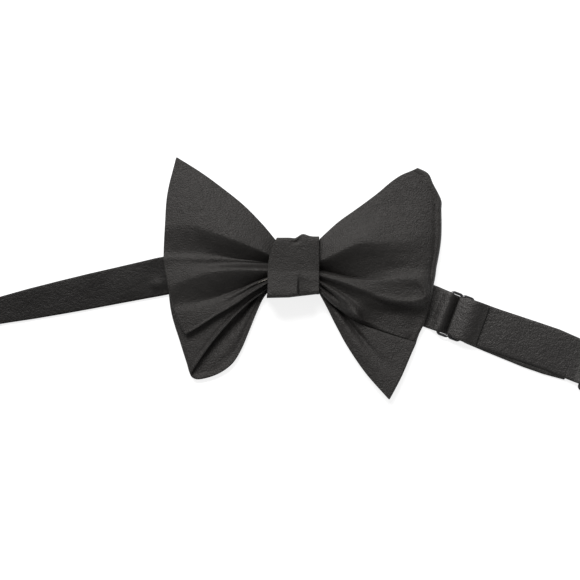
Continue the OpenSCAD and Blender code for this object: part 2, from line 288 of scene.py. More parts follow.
@dataclass(frozen=True)
class Paper:
    """The pale sweep under the tie."""

    name: str

    def build(self) -> bpy.types.Material:
        """Returns: the material."""
        g = Graph(self.name)
        body = g.node("ShaderNodeTexCoord", {}, {}, out="Object")
        cloud = g.noise(body, 6.0, 2.0)
        return g.close({
            "Base Color": g.mix(cloud, (0.36, 0.36, 0.36), (0.39, 0.39, 0.39)),
            "Roughness": 0.9,
            "Specular IOR Level": 0.0,
            "Emission Color": g.mix(cloud, (0.99, 0.99, 0.99), (1.0, 1.0, 1.0)),
            "Emission Strength": 0.8,
        })


class Finishes:
    """Every finish in use, built once."""

    def __init__(self) -> None:
        """Builds the materials."""
        self.satin = Satin("satin", (0.004, 0.0036, 0.0033), (0.013, 0.0119, 0.011)).build()
        self.strap = Satin("band_satin", (0.004, 0.0038, 0.0037), (0.014, 0.013, 0.0125),
                           rough=0.5, grain=0.6, lustre=0.5).build()
        # Painted shade: the left band's satin is a darker, less lustrous copy of the band satin, standing in
        # for its weaker sheen under the key light.
        self.left_strap = Satin("band_satin_left_painted_shade", (0.002, 0.0019, 0.0018), (0.006, 0.0056, 0.0053),
                                rough=0.5, grain=0.5, lustre=0.24).build()
        self.lining = Satin("lining", (0.004, 0.0037, 0.0035), (0.012, 0.011, 0.0105), rough=0.6).build()
        self.canvas = Weave("interlining", (0.42, 0.38, 0.31), (0.66, 0.62, 0.53)).build()
        self.thread = Weave("thread", (0.006, 0.006, 0.006), (0.03, 0.029, 0.028), 0.0003).build()
        self.enamel = Enamel("enamel").build()
        self.paper = Paper("paper").build()


# ---------------------------------------------------------------- cloth surfaces


@dataclass(frozen=True)
class Rib:
    """A line along a leaf, from the knot outwards.

    at is its place across the leaf, 0 at the lower edge. sharp is 0 for a rounded crest or
    hollow and 1 for a crease.
    """

    at: float
    points: Sequence[Point]
    sharp: float = 0.0


def cubic(a: np.ndarray, b: np.ndarray, leave: np.ndarray, arrive: np.ndarray, t: np.ndarray) -> np.ndarray:
    """A cubic between two values.

    Args:
        a: value at t = 0.
        b: value at t = 1.
        leave: slope at a.
        arrive: slope at b.
        t: places between them.

    Returns:
        The values at t.
    """
    return (a * (2 * t**3 - 3 * t**2 + 1) + b * (3 * t**2 - 2 * t**3)
            + leave * (t**3 - 2 * t**2 + t) + arrive * (t**3 - t**2))


def along(points: np.ndarray, t: np.ndarray) -> np.ndarray:
    """A smooth line through points.

    Args:
        points: the points, evenly spaced in t.
        t: places along it, 0 to 1.

    Returns:
        A point for each t.
    """
    slopes = np.gradient(points, axis=0)
    x = np.clip(t, 0, 1) * (len(points) - 1)
    k = np.clip(x.astype(int), 0, len(points) - 2)
    return cubic(points[k], points[k + 1], slopes[k], slopes[k + 1], (x - k)[:, None])


def ramp(v: np.ndarray, start: float, length: float) -> np.ndarray:
    """Returns: 0 up to start, rising to 1 over the length and 1 from there on."""
    return np.clip((v - start) / length, 0, 1)


def hump(v: np.ndarray, centre: float, width: float) -> np.ndarray:
    """Returns: a smooth bump of height 1 at centre."""
    return np.exp(-(((v - centre) / width) ** 2))


def step_up(v: np.ndarray, at: float, width: float) -> np.ndarray:
    """Returns: a smooth step from 0 to 1 at that place."""
    return 1 / (1 + np.exp(-(v - at) / width))


class Loft:
    """A surface that passes through ribs."""

    def __init__(self, ribs: Sequence[Rib]) -> None:
        """Keeps the ribs' places and lines, in metres."""
        self.at = np.array([r.at for r in ribs])
        self.sharp = np.array([r.sharp for r in ribs])
        self.lines = [np.array(r.points, float) * MM for r in ribs]

    def slopes_across(self, z: np.ndarray) -> tuple[np.ndarray, np.ndarray]:
        """Height slopes at each rib, one-sided at creases and never overshooting elsewhere.

        Args:
            z: heights, ribs x places along them.

        Returns:
            The slopes just before and just after each rib.
        """
        rise = np.diff(z, axis=0) / np.diff(self.at)[:, None]
        both = np.concatenate([rise[:1], rise, rise[-1:]])
        before, after = both[:-1], both[1:]
        together = before * after > 0
        total = np.where(together, before + after, 1.0)
        even_slope = np.where(together, 2 * before * after / total, 0.0)
        sharp = self.sharp[:, None]
        return even_slope * (1 - sharp) + before * sharp, even_slope * (1 - sharp) + after * sharp

    def grid(self, u: np.ndarray, v: np.ndarray) -> np.ndarray:
        """Points on the surface.

        Args:
            u: places from the knot outwards, 0 to 1.
            v: places across, 0 to 1.

        Returns:
            len(u) x len(v) points.
        """
        p = np.stack([along(line, u) for line in self.lines])
        slopes = np.gradient(p[..., :2], self.at, axis=0)
        k = np.clip(np.searchsorted(self.at, v, "right") - 1, 0, len(self.at) - 2)
        h = self.at[k + 1] - self.at[k]
        t = (v - self.at[k]) / h
        wide = h[:, None, None]
        flat = cubic(p[k, :, :2], p[k + 1, :, :2], slopes[k] * wide, slopes[k + 1] * wide, t[:, None, None])
        z = p[..., 2]
        before, after = self.slopes_across(z)
        high = cubic(z[k], z[k + 1], after[k] * h[:, None], before[k + 1] * h[:, None], t[:, None])
        return np.concatenate([flat, high[..., None]], axis=2).transpose(1, 0, 2)


def ripple(p: np.ndarray, size: float, seed: int) -> np.ndarray:
    """A soft irregular waviness: a few crossing waves.

    Args:
        p: points.
        size: the waves' mean length, in metres.
        seed: picks the waves.

    Returns:
        A height from about -1 to 1 for each point.
    """
    rng = np.random.default_rng(seed)
    waves = 7
    total = np.zeros(p.shape[:-1])
    for _ in range(waves):
        angle, phase = rng.uniform(0, math.pi), rng.uniform(0, 2 * math.pi)
        k = 2 * math.pi / (size * rng.uniform(0.7, 1.6))
        total += np.sin(k * (p[..., 0] * math.cos(angle) + p[..., 1] * math.sin(angle)) + phase)
    return total / (waves / 2)


def new_piece(name: str, bm: bmesh.types.BMesh, material: bpy.types.Material) -> bpy.types.Object:
    """Makes an object of a bmesh, which is freed.

    Args:
        name: the object's name.
        bm: its shape.
        material: its finish.

    Returns:
        The object.
    """
    mesh = bpy.data.meshes.new(name)
    bm.to_mesh(mesh)
    bm.free()
    mesh.materials.append(material)
    made = bpy.data.objects.new(name, mesh)
    bpy.context.scene.collection.objects.link(made)
    return made


def dress(made: bpy.types.Object, body: str, node: str) -> None:
    """Puts a piece on one body, in place of a CAD node.

    Args:
        made: the piece.
        body: the body it moves with.
        node: the CAD node it stands for.
    """
    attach(made, body)
    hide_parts(node)


def grid_mesh(name: str, points: np.ndarray, flat: tuple[float, float], material: bpy.types.Material,
              closed: bool = False, capped: bool = False) -> bpy.types.Object:
    """Makes a sheet from a bmesh grid.

    Args:
        name: the object's name.
        points: rows x columns of points.
        flat: the sheet's flat size, for its own coordinates.
        material: its finish.
        closed: whether the last row meets the first.
        capped: whether the tube's open ends are filled.

    Returns:
        The object.
    """
    nu, nv = points.shape[:2]
    bm = bmesh.new()
    uv = bm.loops.layers.uv.new("flat")
    bmesh.ops.create_grid(bm, x_segments=nu - 1, y_segments=nv - 1, size=1.0)
    place = {}
    for vert in bm.verts:
        i = round((vert.co.x + 1) / 2 * (nu - 1))
        j = round((vert.co.y + 1) / 2 * (nv - 1))
        place[vert] = (i / (nu - 1), j / (nv - 1))
        vert.co = Vector(points[i, j])
    for face in bm.faces:
        face.smooth = True
        for loop in face.loops:
            u, v = place[loop.vert]
            loop[uv].uv = (u * flat[1], v * flat[0])
    if closed:
        bmesh.ops.remove_doubles(bm, verts=bm.verts, dist=1e-6)
        bm.normal_update()
        if capped:
            bmesh.ops.holes_fill(bm, edges=[e for e in bm.edges if e.is_boundary], sides=0)
        bmesh.ops.recalc_face_normals(bm, faces=bm.faces)
    return new_piece(name, bm, material)


def thicken(made: bpy.types.Object, thickness: float, offset: float = 0.0, levels: int = 1) -> None:
    """Gives a sheet its thickness and rounds its edges.

    Args:
        made: the sheet.
        thickness: in metres.
        offset: 0 for a wall centred on the sheet, -1 for one inside it.
        levels: subdivision that rounds the edges, or 0.
    """
    solid = made.modifiers.new("thickness", "SOLIDIFY")
    solid.thickness = thickness
    solid.offset = offset
    solid.use_quality_normals = True
    if levels:
        smooth = made.modifiers.new("round", "SUBSURF")
        smooth.levels = levels
        smooth.render_levels = levels


@dataclass
class Leaf:
    """One leaf of the bow: its satin and the interlining inside it.

    flat is the satin's flat size and area its area, in metres; area is not used. thickness, wrinkle
    (the waves' height) and rim (how far the edges stand past the ribs) are in millimetres.
    """

    node: str
    lining: str
    ribs: Sequence[Rib]
    flat: tuple[float, float]
    held: Hold
    thickness: float = 1.0
    steps: tuple[int, int] = (84, 84)
    area: Optional[float] = None
    wrinkle: float = 0.18
    seed: int = 1
    rim: float = 0.3

    def surface(self, lo: tuple[float, float] = (0, 0), hi: tuple[float, float] = (1, 1)) -> np.ndarray:
        """Returns: the leaf's middle surface between two corners, 0 to 1 along and across."""
        u = np.linspace(lo[0], hi[0], self.steps[0])
        v = np.linspace(lo[1], hi[1], self.steps[1])
        p = Loft(self.ribs).grid(u, v)
        for edge, inner in ((p[:, 0], p[:, 1]), (p[:, -1], p[:, -2]), (p[-1], p[-2])):
            out = edge - inner
            edge += out / np.linalg.norm(out, axis=1)[:, None] * self.rim * MM
        fade = np.clip(u * 4, 0, 1)[:, None]
        waves = ripple(p, 0.021, self.seed) + 0.45 * ripple(p, 0.008, self.seed + 9)
        p[..., 2] += fade * self.wrinkle * MM * waves
        return p

    def build(self, finishes: Finishes) -> None:
        """Builds both pieces on the bow."""
        shell = grid_mesh(self.node + "_cloth", self.surface(), self.flat, finishes.satin)
        thicken(shell, self.thickness * MM)
        dress(shell, "bow", self.node)
        end = 0.99 if self.held is Hold.FOLDED else 0.95
        inner = self.surface((0.01, 0.1), (end, 0.95))
        canvas = grid_mesh(self.lining + "_cloth", inner, self.flat, finishes.canvas)
        thicken(canvas, CANVAS_T * MM, levels=0)
        dress(canvas, "bow", self.lining)
        LOG.info("leaf %s", self.node)


def fold_back(ribs: Sequence[Rib], depth: float, reach: float, inset: float, hem: float) -> list[Rib]:
    """Carries each rib round a fold at its outer end and back to the knot behind itself.

    Args:
        ribs: the front ply's ribs.
        depth: height of the rear ply, where the front ply leaves it room.
        reach: how far the fold stands past the last point.
        inset: how far the rear ply's edges stay inside the front ply's.
        hem: depth of the soft groove just inside the fold.

    Returns:
        The ribs of the whole loop.
    """
    made = []
    for rib in ribs:
        whole = along(np.array(rib.points, float), np.array(FOLD_STOPS))
        whole[-2, 2] -= hem
        front = [tuple(point) for point in whole]
        (x0, y0, _), (x1, y1, z1) = front[-2], front[-1]
        far = math.hypot(x1 - x0, y1 - y0)
        low = min(depth, z1 - PLY_GAP)
        tip = (x1 + (x1 - x0) / far * reach, y1 + (y1 - y0) / far * reach, (z1 + low) / 2)
        shift = inset * (1 - 2 * rib.at)
        back = [(x, y + shift, min(depth, z - PLY_GAP)) for x, y, z in reversed(front)]
        made.append(Rib(rib.at, front + [tip] + back, rib.sharp))
    return made


@dataclass(frozen=True)
class LeftWing:
    """The blade in front and the open loop behind it; flat sizes in metres."""

    blade_flat: tuple[float, float] = (0.084, 0.066)
    blade_area: float = 0.0037
    loop_flat: tuple[float, float] = (0.075, 0.125)
    loop_area: float = 0.0058

    def blade(self) -> Leaf:
        """Returns: the front blade."""
        ribs = [
            Rib(0.00, [(-11.5, -7.6, 10.8), (-20.9, -13, 10.2), (-29.2, -18.9, 10.0), (-39.2, -24.9, 9.7),
                       (-48.5, -31, 9.1), (-53.7, -34, 8.2)]),
            Rib(0.022, [(-11.5, -7.1, 10.0), (-20.8, -12.2, 9.3), (-28.9, -17.8, 9.1), (-38.9, -23.7, 8.9),
                        (-48.4, -29.6, 8.6), (-54.7, -32.6, 7.9)]),
            Rib(0.07, [(-11.5, -6.4, 8.8), (-20.5, -10.6, 8.2), (-28.4, -15.2, 8.4), (-38.6, -20.8, 8.8),
                       (-48.3, -26, 8.8), (-56.9, -28.2, 8.2)]),
            Rib(0.10, [(-11.5, -5.8, 10.2), (-20.3, -9.4, 9.3), (-28, -13.6, 8.9), (-38.3, -18.6, 8.7),
                       (-48.4, -22.6, 8.8), (-58.4, -24.6, 8.4)]),
            Rib(0.15, [(-11.5, -5, 7.8), (-20, -8.3, 7.2), (-27.6, -11.6, 7.0), (-38, -15.4, 7.2),
                       (-48.5, -18, 7.7), (-60, -19.8, 8.0)], 0.7),
            Rib(0.30, [(-11.5, -2.2, 12.2), (-20, -2.2, 12.6), (-29.2, -2.2, 12.7), (-39.2, -3.0, 12.5),
                       (-49.2, -5.2, 12.0), (-62.3, -10.4, 10.6)], 0.5),
            Rib(0.43, [(-11.5, 1.2, 7.4), (-20, 1.5, 8.2), (-30, 1.9, 9.2), (-40, 2.0, 10.1),
                       (-51, 2.0, 10.6), (-64.5, 2.0, 10.0)], 0.8),
            Rib(0.444, [(-11.5, 1.7, 7.6), (-20, 2.2, 8.8), (-30, 2.9, 9.9), (-40, 3.2, 10.8),
                        (-51, 3.3, 11.2), (-64.6, 3.6, 10.2)], 0.4),
            Rib(0.47, [(-11.5, 2.2, 8.0), (-20, 2.7, 8.7), (-30, 3.7, 9.3), (-40, 5.2, 9.9),
                       (-51, 6.2, 10.0), (-64.6, 6.6, 9.2)], 0.4),
            Rib(0.60, [(-10.9, 5.0, 11.6), (-18.5, 8.5, 13.8), (-28.5, 12.5, 14.8), (-38.5, 15.9, 14.6),
                       (-50.2, 20.0, 13.4), (-63.9, 19.0, 11.4)], 0.7),
            Rib(0.80, [(-9.8, 8.6, 10.2), (-17, 14.8, 11.8), (-26.5, 21.8, 12.4), (-36.5, 28.2, 12.0),
                       (-48, 34.4, 11.2), (-62.7, 36.2, 9.8)]),
            Rib(1.00, [(-8.7, 12.3, 9.0), (-15.6, 20.6, 9.8), (-24.6, 29.8, 9.8), (-34.6, 38.0, 9.2),
                       (-46.0, 46.4, 8.5), (-58.5, 54.3, 7.8)]),
        ]
        return Leaf("left_front_blade", "left_front_interlining", ribs, self.blade_flat, Hold.GATHERED,
                    area=self.blade_area, seed=3)

    def loop(self) -> Leaf:
        """Returns: the rear loop, front ply first, then round the fold and back."""
        ribs = [
            Rib(0.00, [(-12.3, -10.9, 6.8), (-20.9, -17, 6.6), (-28.1, -23.7, 6.6), (-35.4, -31.5, 6.5),
                       (-43, -40.9, 6.1), (-49.6, -50.6, 4.9), (-51.4, -54.6, 3.3), (-48.8, -56.8, 2.6),
                       (-42.3, -55.7, 2.6), (-35.9, -52.9, 2.8), (-30.3, -48.3, 3.0), (-26.3, -41.7, 3.1),
                       (-22.9, -33.6, 3.1), (-19.6, -25.3, 3.1), (-16.1, -17.3, 2.9), (-12.9, -12.6, 2.7)]),
            Rib(0.05, [(-12.2, -10.4, 6.1), (-21.1, -16.2, 5.7), (-28.6, -22.7, 5.6), (-36.1, -30.4, 5.4),
                       (-43.9, -39.7, 5.1), (-50.9, -49.2, 4.5), (-52.4, -52.0, 3.2), (-50.4, -53.6, 1.9),
                       (-43.2, -52.6, 1.7), (-36.7, -49.5, 1.8), (-31.4, -44.9, 1.9), (-27.2, -38.8, 2.0),
                       (-23.8, -31.4, 2.1), (-20.4, -23.8, 2.2), (-16.6, -16.4, 2.4), (-12.9, -12.1, 2.6)]),
            Rib(0.10, [(-12.2, -10.1, 6.2), (-21.5, -15.6, 6.0), (-29.2, -21.8, 5.9), (-37, -29.2, 5.7),
                       (-45, -38.2, 5.3), (-52.0, -47.6, 4.5), (-53.1, -49.2, 3.1), (-51.2, -50.2, 1.7),
                       (-44.2, -49.4, 1.8), (-37.6, -45.9, 2.2), (-32.6, -41, 2.5), (-28.4, -35.4, 2.7),
                       (-24.8, -29, 2.7), (-21.2, -22.2, 2.7), (-17, -15.3, 2.7), (-12.8, -11.6, 2.7)], 0.3),
            Rib(0.24, [(-12.1, -8.2, 5.8), (-22.5, -12.4, 5.9), (-31, -17.2, 5.8), (-40, -23, 5.6),
                       (-48, -29.6, 5.2), (-55.8, -37, 4.5), (-56.5, -37.4, 3.2), (-55, -37.4, 1.8),
                       (-48, -37.4, 0.9), (-41, -35.4, 0.8), (-35, -32.2, 0.8), (-30.5, -28.6, 0.9),
                       (-26, -23.8, 1.1), (-22, -18.8, 1.5), (-17.3, -13.6, 2.1), (-12.8, -10.2, 2.6)]),
            Rib(0.50, [(-12, -5, 5.4), (-23, -6.4, 5.5), (-32, -8.6, 5.4), (-42, -12.4, 5.2),
                       (-51, -16.4, 5.0), (-60.4, -20.6, 4.5), (-61.2, -20.6, 3.3), (-60, -20.8, 2.4),
                       (-50, -21, 2.3), (-43, -20.6, 2.3), (-36, -19, 2.3), (-31, -17, 2.3),
                       (-26, -14.2, 2.4), (-22, -11.6, 2.5), (-17.5, -9.4, 2.6), (-12.8, -7.6, 2.7)]),
            Rib(1.00, [(-12, 4, 5.0), (-23, 8, 5.0), (-32, 12, 5.0), (-42, 17, 4.9), (-51, 21, 4.8),
                       (-60.4, 24, 4.5), (-61.4, 24.2, 3.5), (-60.4, 23.8, 2.5), (-52, 21, 2.5),
                       (-45, 18, 2.5), (-38, 14.6, 2.5), (-32, 11.6, 2.5), (-26, 8.6, 2.5),
                       (-21, 6.4, 2.5), (-16.5, 4.6, 2.6), (-12.8, 3.4, 2.7)]),
        ]
        return Leaf("left_rear_loop", "left_rear_interlining", ribs, self.loop_flat, Hold.FOLDED,
                    thickness=0.9, steps=(136, 52), area=self.loop_area, wrinkle=0.1, seed=5)


@dataclass(frozen=True)
class RightWing:
    """The loop in front, its fold at the outer edge, and the blade behind it.

    Flat sizes are in metres; depth, reach, inset and hem shape the loop's fold, in millimetres.
    """

    loop_flat: tuple[float, float] = (0.078, 0.132)
    loop_area: float = 0.0075
    blade_flat: tuple[float, float] = (0.080, 0.078)
    blade_area: float = 0.0035
    depth: float = 4.6
    reach: float = 1.0
    inset: float = 1.2
    hem: float = 0.35

    def loop(self) -> Leaf:
        """Returns: the front loop."""
        front = [
            Rib(0.00, [(12, -10.2, 8.4), (16.6, -16.2, 7.8), (22.6, -21.2, 6.6), (31.8, -27.4, 5.0),
                       (45, -32.4, 4.5), (52, -35.0, 4.4), (59.7, -37.5, 4.3)]),
            Rib(0.035, [(12, -9.5, 9.6), (17, -14.7, 9.0), (23.2, -19.8, 8.0), (31.8, -26.2, 6.8),
                        (45.2, -31, 4.6), (53, -33.2, 4.5), (61.2, -34.8, 4.4)]),
            Rib(0.07, [(12, -8.6, 7.8), (17.8, -13.0, 7.6), (24.2, -18.6, 9.0), (31.6, -24.8, 10.6),
                       (37, -27.6, 5.4), (46, -29.6, 4.6), (62.8, -31.6, 4.5)], 0.2),
            Rib(0.105, [(12, -7.6, 10.6), (18.4, -11.6, 10.8), (25.6, -17.0, 10.7), (31.4, -22.0, 9.6),
                        (36.5, -24.4, 6.0), (46.5, -27.2, 4.8), (64.3, -28.6, 4.6)]),
            Rib(0.15, [(12, -6.7, 9.4), (19, -10.3, 9.2), (26.6, -14.8, 8.9), (33, -19.0, 8.2),
                       (39, -21.2, 6.6), (48.5, -23.8, 5.2), (65.3, -25.8, 5.0)]),
            Rib(0.215, [(12, -5.4, 10.2), (19.8, -8.2, 10.5), (28.5, -11.9, 10.5), (39, -16.6, 9.2),
                        (50, -20.2, 7.4), (61, -20.8, 7.2), (66.8, -21.4, 6.4)]),
            Rib(0.26, [(12, -4.4, 12.0), (20, -6.6, 12.6), (29.5, -9.8, 12.6), (40, -14, 11.6),
                       (51, -17.4, 11.9), (62.6, -17.6, 12.2), (67.4, -17.8, 9.4)], 0.4),
            Rib(0.285, [(12, -4.0, 11.4), (20, -6.2, 12.3), (29.8, -9.2, 12.4), (40, -12.4, 11.3),
                        (51, -15.4, 11.1), (61.8, -15.6, 11.4), (65.4, -15.6, 12.2), (67.9, -15.6, 9.4)]),
            Rib(0.32, [(12, -3.2, 10.8), (20, -5.4, 11.9), (30, -8.0, 12.0), (40, -9.8, 11.3),
                       (50, -11.6, 11.2), (61.5, -11.8, 11.4), (65.6, -11.8, 12.3), (68.3, -11.8, 9.6)]),
            Rib(0.36, [(12, -2.6, 9.4), (20, -4.6, 10.9), (30, -6.8, 11.4), (41, -7.5, 11.5),
                       (53, -7.0, 12.0), (63, -6.6, 12.6), (69.2, -7, 9.6)], 0.2),
            Rib(0.40, [(12, -1.8, 7.4), (20, -3.6, 7.8), (30, -5.8, 8.4), (40.6, -6.5, 9.8),
                       (53, -4.4, 11.3), (63, -3.8, 11.5), (69.7, -4.2, 9.4)], 0.8),
            Rib(0.44, [(12.1, -0.8, 8.6), (20, -2.2, 9.0), (30, -3.8, 9.4), (41, -3.6, 10.1),
                       (53, -1.8, 11.0), (63.2, -1.2, 11.0), (70.1, -1, 9.0)]),
            Rib(0.50, [(12.2, 0.7, 11.2), (20, 0.6, 11.4), (30, 2.0, 11.8), (41, 3, 12.0),
                       (53, 3.2, 11.8), (63.4, 3.4, 11.2), (71.1, 4, 9.0)], 0.3),
            Rib(0.60, [(12.4, 2.4, 12.9), (19.6, 5.2, 14.9), (29.4, 10.2, 15.6), (39.4, 11.6, 15.2),
                       (51.5, 11.6, 13.4), (63.0, 12.2, 11.6), (72.4, 12.6, 9.4)], 0.6),
            Rib(0.77, [(12.6, 7.0, 12.5), (20.8, 12.8, 12.6), (31, 18.8, 12.1), (42.4, 24.2, 11.0),
                       (52, 27.0, 10.2), (63.0, 28.2, 9.6), (72.6, 28.4, 8.4)]),
            Rib(0.83, [(12.65, 8.8, 11.9), (21.2, 15.2, 11.8), (31.4, 21.6, 11.1), (42.6, 27.4, 10.1),
                       (54.8, 32.4, 9.2), (64.0, 33.2, 8.9), (72.5, 33.2, 8.2)]),
            Rib(0.89, [(12.7, 10.2, 11.4), (21.6, 17.4, 11.0), (31.8, 24.2, 10.2), (42.4, 30.8, 9.3),
                       (54, 37.4, 8.6), (68.6, 40.7, 8.0)]),
            Rib(0.95, [(12.75, 11.6, 10.9), (21.8, 19.4, 10.2), (31.8, 26.4, 9.4), (41.9, 33.4, 8.6),
                       (53, 41.4, 8.0), (66.1, 45.9, 7.6)]),
            Rib(1.00, [(12.8, 12.9, 10.5), (22.0, 21.4, 9.5), (31.6, 28.3, 8.7), (41.3, 35.5, 7.9),
                       (51.6, 43.9, 7.4), (61.0, 48.4, 7.2)]),
        ]
        ribs = fold_back(front, self.depth, self.reach, self.inset, self.hem)
        return Leaf("right_front_loop", "right_front_interlining", ribs, self.loop_flat, Hold.FOLDED,
                    steps=(150, 90), area=self.loop_area, seed=11)

    def blade(self) -> Leaf:
        """Returns: the rear blade."""
        ribs = [
            Rib(0.00, [(12.2, -11.6, 3.0), (17, -20.6, 3.2), (21.5, -29.7, 3.6), (27.2, -40.2, 4.1),
                       (36.2, -53.4, 4.9), (48.0, -66.8, 6.0)]),
            Rib(0.08, [(12.2, -11, 3.6), (17.9, -18.6, 4.3), (23.4, -26.4, 4.8), (29.6, -35.4, 5.1),
                       (38.6, -47.8, 5.5), (51.0, -61.2, 6.2)]),
            Rib(0.15, [(12.2, -9.9, 2.2), (19.4, -17.6, 2.2), (26.4, -26.4, 2.4), (32.8, -34.2, 3.1),
                       (41.6, -44.6, 4.5), (53.9, -55.6, 5.8)], 0.6),
            Rib(0.20, [(12.2, -9.4, 3.0), (19.9, -16.6, 3.3), (27.6, -25, 3.8), (34.4, -32.6, 4.4),
                       (43.6, -42, 4.9), (56, -51, 5.4)]),
            Rib(0.245, [(12.2, -9.0, 2.9), (20.2, -16.2, 3.1), (28, -24.4, 3.6), (35.2, -31.6, 4.4),
                        (44.4, -37.4, 4.8), (58.8, -44.4, 5.0)]),
            Rib(0.30, [(12.2, -8.6, 2.6), (20.5, -16, 2.8), (28.6, -23.8, 3.2), (36, -30.2, 4.4),
                       (45, -33.7, 4.7), (61.3, -38.9, 4.3)]),
            Rib(0.33, [(12.2, -8.2, 2.6), (20.8, -15.4, 2.6), (29, -22.6, 2.3), (36.2, -28.6, 2.4),
                       (45.4, -32.0, 2.2), (62.0, -36.9, 2.6)]),
            Rib(0.36, [(12.2, -7.9, 2.6), (20.8, -14.8, 2.6), (29, -21.6, 2.1), (37, -26.8, 1.6),
                       (46, -30.4, 1.5), (62.9, -34.6, 1.9)]),
            Rib(0.55, [(12.2, -4, 2.7), (21, -8, 2.6), (30, -13, 2.4), (40, -18, 2.2), (51, -22.6, 2.1),
                       (67.0, -24.4, 2.0)]),
            Rib(0.78, [(12.2, 2, 2.7), (22, 2, 2.6), (32, 1, 2.5), (43, 0, 2.4), (56, -1, 2.4),
                       (71.0, -1, 2.4)]),
            Rib(1.00, [(12.2, 8, 2.7), (22, 10, 2.6), (33, 12, 2.5), (45, 14.5, 2.4), (58, 17, 2.4),
                       (73.0, 18.5, 2.4)]),
        ]
        return Leaf("right_rear_blade", "right_rear_interlining", ribs, self.blade_flat, Hold.GATHERED,
                    thickness=0.9, area=self.blade_area, wrinkle=0.14, seed=7)


# ---------------------------------------------------------------- knot


@dataclass(frozen=True)
class Knot:
    """The satin wrap, the gathered cloth inside it and the tacking stitches at its back.

    centre and height are its place and size along Y and depth its size along Z; left and right
    are its sides at the middle. brim is the height of the soft dent's upper edge and dent_from
    where the dent starts along X.
    """

    width: float = 25.6
    round_length: float = 92.0
    centre: float = -0.7
    height: float = 29.4
    depth: float = 16.0
    left: float = -12.95
    right: float = 12.8
    brim: float = -5.2
    dent_from: float = 2.3
    thickness: float = 0.8
    rows: int = 180
    columns: int = 60

    def section(self, grow: float, power: float) -> np.ndarray:
        """The knot's outline, seen along X.

        Args:
            grow: how far outside the knot's size it runs.
            power: 2 for an oval, more for a squarer outline.

        Returns:
            y and z round the knot, evenly spaced from the middle of its back.
        """
        a = np.linspace(0, 2 * math.pi, 8001) - math.pi / 2
        c, s = np.cos(a), np.sin(a)
        y = self.centre + (self.height / 2 + grow) * np.sign(c) * np.abs(c) ** (2 / power)
        z = self.depth / 2 + (self.depth / 2 + grow) * np.sign(s) * np.abs(s) ** (2 / power)
        far = np.concatenate([[0], np.cumsum(np.hypot(np.diff(y), np.diff(z)))])
        t = np.linspace(0, far[-1], self.rows)
        return np.stack([np.interp(t, far, y), np.interp(t, far, z)], axis=1)

    def relief(self, x: np.ndarray, y: np.ndarray) -> np.ndarray:
        """Returns: how far the front stands out: its crown and swell, less the dent and the tuck."""
        crown = 0.5 * (1 - (x / 13) ** 4)
        below = self.brim - 0.35 * np.clip(x - 2, -2, 6) - y
        sunk = step_up(below, 0, 0.4) * 0.45 + 0.2 * np.clip(below, 0, 8)
        past = x - self.dent_from
        dent = step_up(past, 0, 0.16) * sunk * np.clip(1.2 - past / 10, 0.2, 1)
        swell = 1.4 * ramp(-y, 2.6, 11) + 0.075 * np.clip(y + 2.6, 0, 14)
        tuck = 0.9 * hump(x, 1.6, 2.4) * hump(y - 0.1 * x, 11.6, 0.9)
        return crown - dent + swell - tuck - 0.4

    def tube(self) -> np.ndarray:
        """Returns: the wrap's outer surface, with its slanted side and uneven upper and lower edges."""
        yz = self.section(0.0, 16.0)
        across = np.linspace(0, 1, self.columns)
        y = np.repeat(yz[:, :1], self.columns, 1)
        z = np.repeat(yz[:, 1:], self.columns, 1)
        left = self.left - 0.4 * ramp(-yz[:, 0], 11, 4) + 4.5 * ramp(yz[:, 0], -1, 14.8) ** 1.6
        x = left[:, None] + (self.right - left)[:, None] * across
        front = ramp(z, self.depth * 0.55, self.depth * 0.3)
        z = z + front * self.relief(x, y)
        peak = 0.6 * ramp(x, 1, 3) + 1.2 * hump(x, 4.8, 2.6) - 0.3 * hump(x, 0.6, 1.6)
        y = y + ramp(y, 9, 4) * peak
        y = y + ramp(-y, 10, 4) * (1.5 * ramp(x, -2, 13) - 0.3 * ramp(-x, 0, 12) - 0.3)
        p = np.stack([x, y, z], axis=2) * MM
        p[..., 2] += front * 0.1 * MM * ripple(p, 0.012, 31)
        return p

    def gathered(self) -> np.ndarray:
        """Returns: the surface of the cloth inside, with its small gathers."""
        yz = self.section(-1.6, 4.0)
        gathers, columns = 17, 20
        out = yz - [self.centre, self.depth / 2]
        out = out / np.linalg.norm(out, axis=1)[:, None]
        out *= 0.35 * np.sin(np.linspace(0, 2 * math.pi, len(yz)) * gathers)[:, None]
        body = np.clip(yz + out, [-14, 1.7], [13, 14.6])
        y, z = body[:, :1], body[:, 1:]
        left = -10.6 + 0.27 * np.clip(y + 1, 0, None)
        x = left + (10.8 - left) * np.linspace(0, 1, columns)
        return np.stack([x, np.repeat(y, columns, 1), np.repeat(z, columns, 1)], axis=2) * MM

    def build(self, finishes: Finishes) -> None:
        """Builds the knot on the bow."""
        flat = (self.width * MM, self.round_length * MM)
        wrap = grid_mesh("knot_wrap_cloth", self.tube(), flat, finishes.satin, closed=True)
        thicken(wrap, self.thickness * MM, offset=-1.0)
        dress(wrap, "bow", "knot_wrap")
        core = grid_mesh("knot_core_cloth", self.gathered(), (0.022, 0.08), finishes.lining, closed=True,
                         capped=True)
        dress(core, "bow", "knot_core")
        places = [(3.5, (k - 2.5) * 3.2, 0.12) for k in range(6)]
        Stitches("knot_tack", places, 2.2, 20, 0.14).build(finishes, "bow")
        LOG.info("knot")


